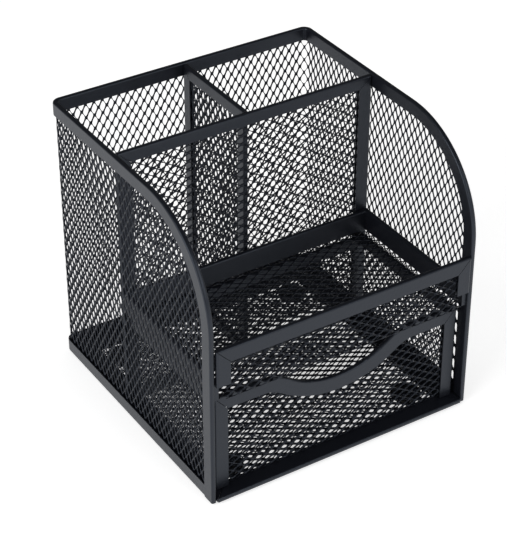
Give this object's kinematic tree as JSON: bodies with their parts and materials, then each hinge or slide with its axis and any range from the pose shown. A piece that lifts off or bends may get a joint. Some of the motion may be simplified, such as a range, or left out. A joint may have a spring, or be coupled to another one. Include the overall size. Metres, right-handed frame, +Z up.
{
  "type": "pen stand with drawer",
  "caption": "Desk pen stand of black expanded-metal net with tall compartments at the back, an open tray with a raised lip in front and a pull-out drawer under the tray.",
  "frame": {"origin": "on the table, under the middle of the stand's outline", "axes": "+X to the right seen from the drawer's side, +Y to the back, +Z up; the drawer opens along -Y"},
  "size_m": [0.125, 0.125, 0.125],
  "materials": {
    "coated_strip": "satin black powder coat",
    "coated_net": "satin black powder coat",
    "rubber_pad": "matt black rubber"
  },
  "bodies": {
    "casing": {"base_front_strip": "coated_strip", "base_left_strip": "coated_strip", "base_net": "coated_net", "base_rear_strip": "coated_strip", "base_right_strip": "coated_strip", "centre_divider_bottom_strip": "coated_strip", "centre_divider_front_strip": "coated_strip", "centre_divider_net": "coated_net", "centre_divider_rear_strip": "coated_strip", "centre_divider_top_rail": "coated_strip", "cross_divider_bottom_strip": "coated_strip", "cross_divider_left_strip": "coated_strip", "cross_divider_net": "coated_net", "cross_divider_right_strip": "coated_strip", "cross_divider_top_rail": "coated_strip", "front_left_pad": "rubber_pad", "front_right_pad": "rubber_pad", "left_bottom_strip": "coated_strip", "left_side_net": "coated_net", "left_side_rim": "coated_strip", "lip_left_strip": "coated_strip", "lip_net": "coated_net", "lip_rail": "coated_strip", "lip_right_strip": "coated_strip", "rear_bottom_strip": "coated_strip", "rear_left_bend_net": "coated_net", "rear_left_pad": "rubber_pad", "rear_net": "coated_net", "rear_right_bend_net": "coated_net", "rear_right_pad": "rubber_pad", "rear_rim": "coated_strip", "right_bottom_strip": "coated_strip", "right_side_net": "coated_net", "right_side_rim": "coated_strip", "tray_floor_net": "coated_net", "tray_left_flange": "coated_strip", "tray_rear_flange": "coated_strip", "tray_right_flange": "coated_strip"},
    "drawer": {"drawer_floor_net": "coated_net", "drawer_front_left_strip": "coated_strip", "drawer_front_net": "coated_net", "drawer_front_rail": "coated_strip", "drawer_front_right_strip": "coated_strip", "drawer_left_side_net": "coated_net", "drawer_left_top_strip": "coated_strip", "drawer_rear_net": "coated_net", "drawer_rear_top_strip": "coated_strip", "drawer_right_side_net": "coated_net", "drawer_right_top_strip": "coated_strip"}
  },
  "joints": [
    {"name": "drawer_slide", "type": "slide", "parent": "casing", "child": "drawer", "axis": [0, -1, 0], "range_m": [0, 0.055]}
  ]
}
